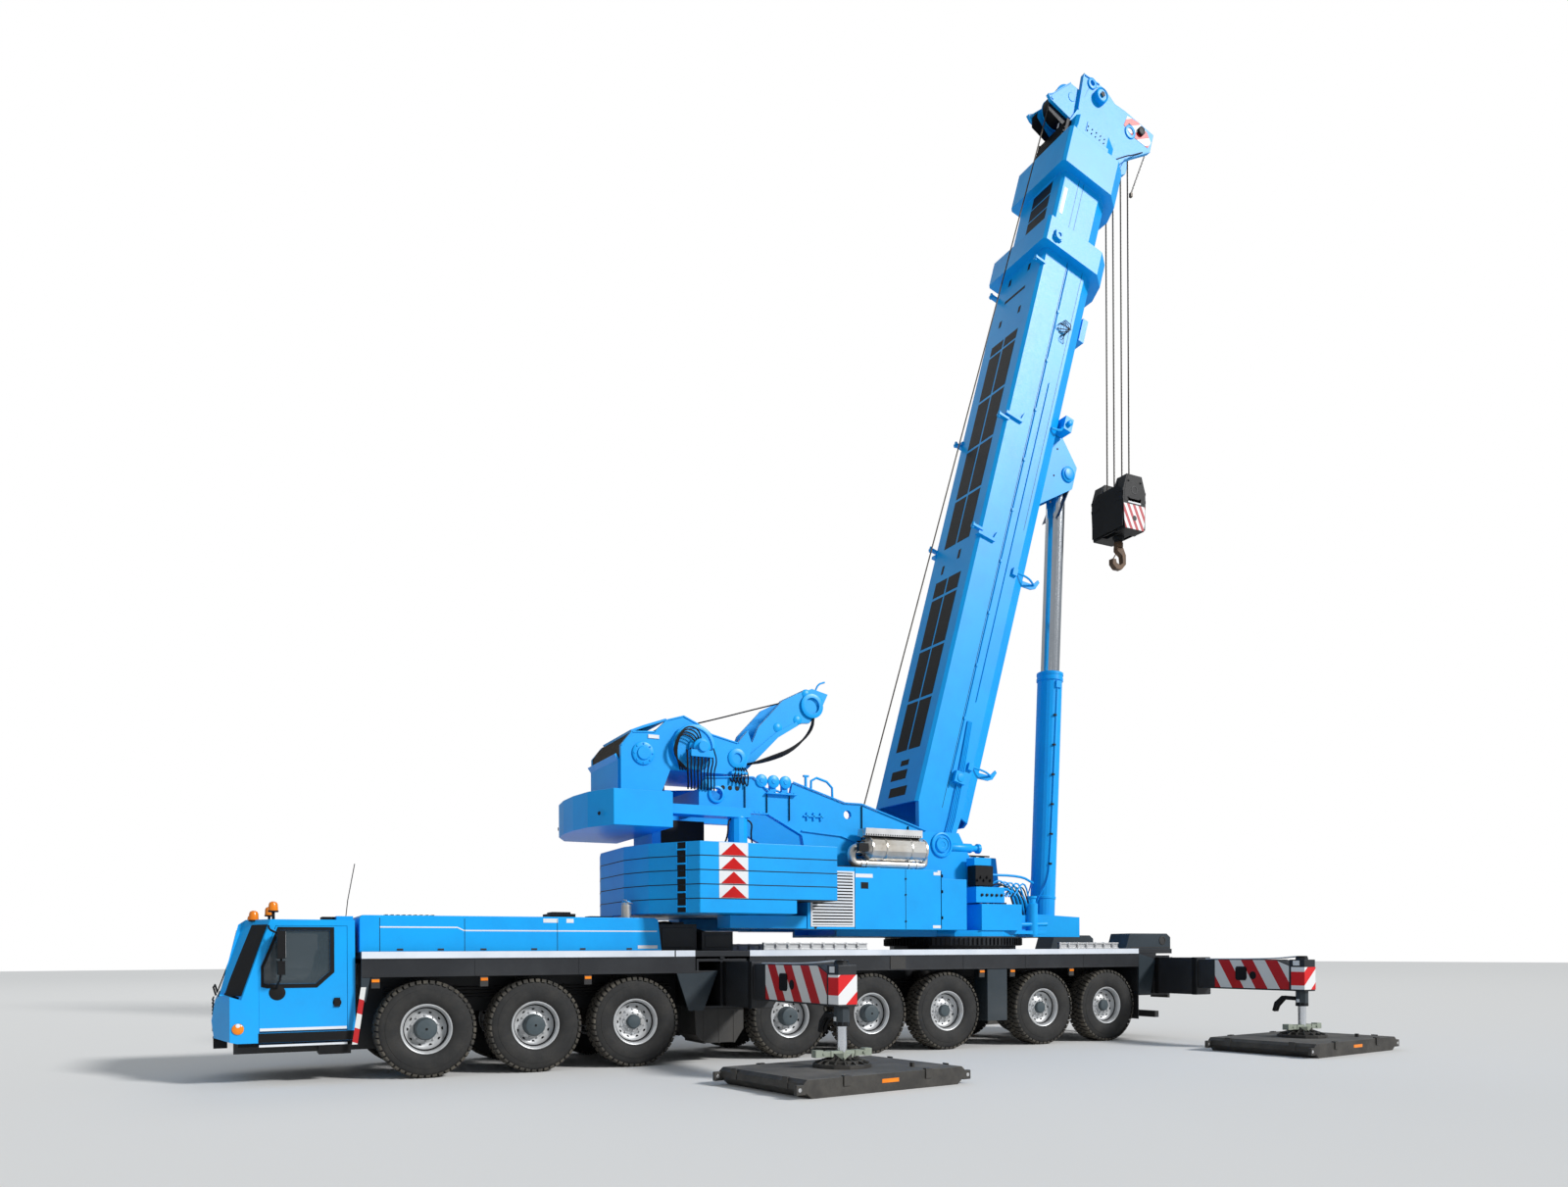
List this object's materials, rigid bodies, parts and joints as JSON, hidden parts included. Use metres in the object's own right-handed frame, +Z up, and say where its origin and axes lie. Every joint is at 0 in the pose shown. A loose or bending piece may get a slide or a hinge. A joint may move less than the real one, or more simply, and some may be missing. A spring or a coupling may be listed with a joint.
{
  "type": "mobile crane",
  "caption": "All-terrain telescopic mobile crane on outriggers and support mats, boom raised, with counterweight and hook block.",
  "frame": {"origin": "on the ground under the middle of the crane's overall length and width, boom raised as stored", "axes": "+X towards the carrier's rear, where the boom points; +Y to the carrier's right-hand side; +Z up"},
  "size_m": [19.8178, 12.8174, 21.177],
  "materials": {
    "azure_paint": "gloss",
    "anthracite_paint": "satin",
    "axle_steel": "matte",
    "engine_iron": "matte",
    "tyre_rubber": "matte",
    "tinted_glass": "gloss",
    "mat_steel": "worn satin",
    "chrome_rod": "polished",
    "wire_rope": "greased",
    "black_paint": "satin"
  },
  "bodies": {
    "root": {"chassis_frame": "anthracite_paint", "carrier_engine": "engine_iron", "carrier_deck": "anthracite_paint", "engine_cover": "azure_paint", "driver_cab": "azure_paint", "cab_windows": "tinted_glass", "axle_beams": "axle_steel", "support_mats": "mat_steel"},
    "knuckle_1_left": {"knuckle_1_left": "axle_steel"},
    "knuckle_1_right": {"knuckle_1_right": "axle_steel"},
    "knuckle_2_left": {"knuckle_2_left": "axle_steel"},
    "knuckle_2_right": {"knuckle_2_right": "axle_steel"},
    "knuckle_3_left": {"knuckle_3_left": "axle_steel"},
    "knuckle_3_right": {"knuckle_3_right": "axle_steel"},
    "knuckle_4_left": {"knuckle_4_left": "axle_steel"},
    "knuckle_4_right": {"knuckle_4_right": "axle_steel"},
    "knuckle_7_left": {"knuckle_7_left": "axle_steel"},
    "knuckle_7_right": {"knuckle_7_right": "axle_steel"},
    "knuckle_8_left": {"knuckle_8_left": "axle_steel"},
    "knuckle_8_right": {"knuckle_8_right": "axle_steel"},
    "wheel_1_left": {"wheel_1_left": "tyre_rubber"},
    "wheel_1_right": {"wheel_1_right": "tyre_rubber"},
    "wheel_2_left": {"wheel_2_left": "tyre_rubber"},
    "wheel_2_right": {"wheel_2_right": "tyre_rubber"},
    "wheel_3_left": {"wheel_3_left": "tyre_rubber"},
    "wheel_3_right": {"wheel_3_right": "tyre_rubber"},
    "wheel_4_left": {"wheel_4_left": "tyre_rubber"},
    "wheel_4_right": {"wheel_4_right": "tyre_rubber"},
    "wheel_5_left": {"wheel_5_left": "tyre_rubber"},
    "wheel_5_right": {"wheel_5_right": "tyre_rubber"},
    "wheel_6_left": {"wheel_6_left": "tyre_rubber"},
    "wheel_6_right": {"wheel_6_right": "tyre_rubber"},
    "wheel_7_left": {"wheel_7_left": "tyre_rubber"},
    "wheel_7_right": {"wheel_7_right": "tyre_rubber"},
    "wheel_8_left": {"wheel_8_left": "tyre_rubber"},
    "wheel_8_right": {"wheel_8_right": "tyre_rubber"},
    "outrigger_front_left": {"outrigger_beam_front_left": "anthracite_paint"},
    "jack_front_left": {"jack_front_left": "anthracite_paint"},
    "outrigger_front_right": {"outrigger_beam_front_right": "anthracite_paint"},
    "jack_front_right": {"jack_front_right": "anthracite_paint"},
    "outrigger_rear_left": {"outrigger_beam_rear_left": "anthracite_paint"},
    "jack_rear_left": {"jack_rear_left": "anthracite_paint"},
    "outrigger_rear_right": {"outrigger_beam_rear_right": "anthracite_paint"},
    "jack_rear_right": {"jack_rear_right": "anthracite_paint"},
    "cab_door_left": {"cab_door_left": "azure_paint"},
    "cab_door_right": {"cab_door_right": "azure_paint"},
    "superstructure": {"turntable_frame": "azure_paint", "engine_house": "azure_paint", "counterweight": "azure_paint", "winch_unit": "azure_paint", "crane_cab": "azure_paint", "crane_cab_windows": "tinted_glass"},
    "crane_cab_door": {"crane_cab_door": "azure_paint"},
    "boom_base": {"boom_base": "azure_paint"},
    "boom_tele": {"boom_tele": "azure_paint"},
    "boom_head": {"boom_head": "azure_paint"},
    "lift_barrel": {"lift_barrel": "azure_paint"},
    "lift_rod": {"lift_rod": "chrome_rod"},
    "hoist_falls": {"hoist_falls": "wire_rope"},
    "hook_block": {"hook_block": "black_paint"}
  },
  "joints": [
    {"name": "steer_1_left", "type": "hinge", "parent": "root", "child": "knuckle_1_left", "pos_m": [-7.00886, -1, 0.745], "axis": [0, 0, 1], "range_deg": [-33, 33]},
    {"name": "steer_1_right", "type": "hinge", "parent": "root", "child": "knuckle_1_right", "pos_m": [-7.00886, 1, 0.745], "axis": [0, 0, 1], "range_deg": [-33.3, 33.3]},
    {"name": "steer_2_left", "type": "hinge", "parent": "root", "child": "knuckle_2_left", "pos_m": [-5.34386, -1, 0.745], "axis": [0, 0, 1], "range_deg": [-28.05, 28.05]},
    {"name": "steer_2_right", "type": "hinge", "parent": "root", "child": "knuckle_2_right", "pos_m": [-5.34386, 1, 0.745], "axis": [0, 0, 1], "range_deg": [-28.05, 28.05]},
    {"name": "steer_3_left", "type": "hinge", "parent": "root", "child": "knuckle_3_left", "pos_m": [-3.67886, -1, 0.745], "axis": [0, 0, 1], "range_deg": [-22.24, 22.24]},
    {"name": "steer_3_right", "type": "hinge", "parent": "root", "child": "knuckle_3_right", "pos_m": [-3.67886, 1, 0.745], "axis": [0, 0, 1], "range_deg": [-22.24, 22.24]},
    {"name": "steer_4_left", "type": "hinge", "parent": "root", "child": "knuckle_4_left", "pos_m": [-0.78886, -1, 0.745], "axis": [0, 0, 1], "range_deg": [-10.99, 10.99]},
    {"name": "steer_4_right", "type": "hinge", "parent": "root", "child": "knuckle_4_right", "pos_m": [-0.78886, 1, 0.745], "axis": [0, 0, 1], "range_deg": [-10.99, 10.99]},
    {"name": "steer_7_left", "type": "hinge", "parent": "root", "child": "knuckle_7_left", "pos_m": [4.97114, -1, 0.745], "axis": [0, 0, 1], "range_deg": [-13.67, 13.67]},
    {"name": "steer_7_right", "type": "hinge", "parent": "root", "child": "knuckle_7_right", "pos_m": [4.97114, 1, 0.745], "axis": [0, 0, 1], "range_deg": [-13.67, 13.67]},
    {"name": "steer_8_left", "type": "hinge", "parent": "root", "child": "knuckle_8_left", "pos_m": [6.67114, -1, 0.745], "axis": [0, 0, 1], "range_deg": [-20.28, 20.28]},
    {"name": "steer_8_right", "type": "hinge", "parent": "root", "child": "knuckle_8_right", "pos_m": [6.67114, 1, 0.745], "axis": [0, 0, 1], "range_deg": [-20.28, 20.28]},
    {"name": "spin_1_left", "type": "hinge", "parent": "knuckle_1_left", "child": "wheel_1_left", "pos_m": [-7.00886, -1.2775, 0.745], "axis": [0, 1, 0], "continuous": true},
    {"name": "spin_1_right", "type": "hinge", "parent": "knuckle_1_right", "child": "wheel_1_right", "pos_m": [-7.00886, 1.2775, 0.745], "axis": [0, 1, 0], "continuous": true},
    {"name": "spin_2_left", "type": "hinge", "parent": "knuckle_2_left", "child": "wheel_2_left", "pos_m": [-5.34386, -1.2775, 0.745], "axis": [0, 1, 0], "continuous": true},
    {"name": "spin_2_right", "type": "hinge", "parent": "knuckle_2_right", "child": "wheel_2_right", "pos_m": [-5.34386, 1.2775, 0.745], "axis": [0, 1, 0], "continuous": true},
    {"name": "spin_3_left", "type": "hinge", "parent": "knuckle_3_left", "child": "wheel_3_left", "pos_m": [-3.67886, -1.2775, 0.745], "axis": [0, 1, 0], "continuous": true},
    {"name": "spin_3_right", "type": "hinge", "parent": "knuckle_3_right", "child": "wheel_3_right", "pos_m": [-3.67886, 1.2775, 0.745], "axis": [0, 1, 0], "continuous": true},
    {"name": "spin_4_left", "type": "hinge", "parent": "knuckle_4_left", "child": "wheel_4_left", "pos_m": [-0.78886, -1.2775, 0.745], "axis": [0, 1, 0], "continuous": true},
    {"name": "spin_4_right", "type": "hinge", "parent": "knuckle_4_right", "child": "wheel_4_right", "pos_m": [-0.78886, 1.2775, 0.745], "axis": [0, 1, 0], "continuous": true},
    {"name": "spin_5_left", "type": "hinge", "parent": "root", "child": "wheel_5_left", "pos_m": [0.91114, -1.2775, 0.745], "axis": [0, 1, 0], "continuous": true},
    {"name": "spin_5_right", "type": "hinge", "parent": "root", "child": "wheel_5_right", "pos_m": [0.91114, 1.2775, 0.745], "axis": [0, 1, 0], "continuous": true},
    {"name": "spin_6_left", "type": "hinge", "parent": "root", "child": "wheel_6_left", "pos_m": [2.61114, -1.2775, 0.745], "axis": [0, 1, 0], "continuous": true},
    {"name": "spin_6_right", "type": "hinge", "parent": "root", "child": "wheel_6_right", "pos_m": [2.61114, 1.2775, 0.745], "axis": [0, 1, 0], "continuous": true},
    {"name": "spin_7_left", "type": "hinge", "parent": "knuckle_7_left", "child": "wheel_7_left", "pos_m": [4.97114, -1.2775, 0.745], "axis": [0, 1, 0], "continuous": true},
    {"name": "spin_7_right", "type": "hinge", "parent": "knuckle_7_right", "child": "wheel_7_right", "pos_m": [4.97114, 1.2775, 0.745], "axis": [0, 1, 0], "continuous": true},
    {"name": "spin_8_left", "type": "hinge", "parent": "knuckle_8_left", "child": "wheel_8_left", "pos_m": [6.67114, -1.2775, 0.745], "axis": [0, 1, 0], "continuous": true},
    {"name": "spin_8_right", "type": "hinge", "parent": "knuckle_8_right", "child": "wheel_8_right", "pos_m": [6.67114, 1.2775, 0.745], "axis": [0, 1, 0], "continuous": true},
    {"name": "outrigger_front_left_slide", "type": "slide", "parent": "root", "child": "outrigger_front_left", "axis": [0, -1, 0], "range_m": [-1.65, 0]},
    {"name": "jack_front_left_lift", "type": "slide", "parent": "outrigger_front_left", "child": "jack_front_left", "axis": [0, 0, 1], "range_m": [0, 0.33]},
    {"name": "outrigger_front_right_slide", "type": "slide", "parent": "root", "child": "outrigger_front_right", "axis": [0, 1, 0], "range_m": [-1.65, 0]},
    {"name": "jack_front_right_lift", "type": "slide", "parent": "outrigger_front_right", "child": "jack_front_right", "axis": [0, 0, 1], "range_m": [0, 0.33]},
    {"name": "outrigger_rear_left_slide", "type": "slide", "parent": "root", "child": "outrigger_rear_left", "axis": [0, -1, 0], "range_m": [-1.65, 0]},
    {"name": "jack_rear_left_lift", "type": "slide", "parent": "outrigger_rear_left", "child": "jack_rear_left", "axis": [0, 0, 1], "range_m": [0, 0.33]},
    {"name": "outrigger_rear_right_slide", "type": "slide", "parent": "root", "child": "outrigger_rear_right", "axis": [0, 1, 0], "range_m": [-1.65, 0]},
    {"name": "jack_rear_right_lift", "type": "slide", "parent": "outrigger_rear_right", "child": "jack_rear_right", "axis": [0, 0, 1], "range_m": [0, 0.33]},
    {"name": "cab_door_left_hinge", "type": "hinge", "parent": "root", "child": "cab_door_left", "pos_m": [-9.29886, -1.35, 1.5], "axis": [0, 0, -1], "range_deg": [0, 75]},
    {"name": "cab_door_right_hinge", "type": "hinge", "parent": "root", "child": "cab_door_right", "pos_m": [-9.29886, 1.35, 1.5], "axis": [0, 0, 1], "range_deg": [0, 75]},
    {"name": "slew", "type": "hinge", "parent": "root", "child": "superstructure", "pos_m": [3.79114, 0, 2.18], "axis": [0, 0, 1], "continuous": true},
    {"name": "crane_cab_door_slide", "type": "slide", "parent": "superstructure", "child": "crane_cab_door", "axis": [-1, 0, 0], "range_m": [0, 0.6]},
    {"name": "luff", "type": "hinge", "parent": "superstructure", "child": "boom_base", "pos_m": [2.89114, 0, 4], "axis": [0, -1, 0], "range_deg": [-74.3, 7.7]},
    {"name": "tele_1", "type": "slide", "parent": "boom_base", "child": "boom_tele", "axis": [0.2706, 0, 0.9627], "range_m": [0, 10]},
    {"name": "tele_2", "type": "slide", "parent": "boom_tele", "child": "boom_head", "axis": [0.2706, 0, 0.9627], "range_m": [0, 10.5]},
    {"name": "lift_barrel_swing", "type": "hinge", "parent": "superstructure", "child": "lift_barrel", "pos_m": [6.19114, 0, 2.46], "axis": [0, -1, 0], "range_deg": [-83.53, 9.1]},
    {"name": "lift_rod_slide", "type": "slide", "parent": "lift_barrel", "child": "lift_rod", "axis": [0.048, 0, 0.9988], "range_m": [-3.7707, 0.3997]},
    {"name": "falls_plumb", "type": "hinge", "parent": "boom_head", "child": "hoist_falls", "pos_m": [8.49128, 0, 20.34958], "axis": [0, -1, 0], "range_deg": [-8, 74.6]},
    {"name": "hoist", "type": "slide", "parent": "hoist_falls", "child": "hook_block", "axis": [0, 0, 1], "range_m": [-8.2, 6.2], "deforming": ["hoist_falls"]}
  ],
  "couplings": [
    {"joint": "steer_1_right", "follows": "steer_1_left", "ratio": 1},
    {"joint": "steer_2_left", "follows": "steer_1_left", "ratio": 0.8409},
    {"joint": "steer_2_right", "follows": "steer_1_left", "ratio": 0.8409},
    {"joint": "steer_3_left", "follows": "steer_1_left", "ratio": 0.6649},
    {"joint": "steer_3_right", "follows": "steer_1_left", "ratio": 0.6649},
    {"joint": "steer_4_left", "follows": "steer_1_left", "ratio": 0.324},
    {"joint": "steer_4_right", "follows": "steer_1_left", "ratio": 0.324},
    {"joint": "steer_7_left", "follows": "steer_1_left", "ratio": -0.4052},
    {"joint": "steer_7_right", "follows": "steer_1_left", "ratio": -0.4052},
    {"joint": "steer_8_left", "follows": "steer_1_left", "ratio": -0.6055},
    {"joint": "steer_8_right", "follows": "steer_1_left", "ratio": -0.6055},
    {"joint": "tele_2", "follows": "tele_1", "ratio": 1.05},
    {"joint": "lift_barrel_swing", "follows": "luff", "ratio": 1.1175},
    {"joint": "lift_rod_slide", "follows": "luff", "m_per_rad": 2.9},
    {"joint": "falls_plumb", "follows": "luff", "ratio": -1}
  ]
}
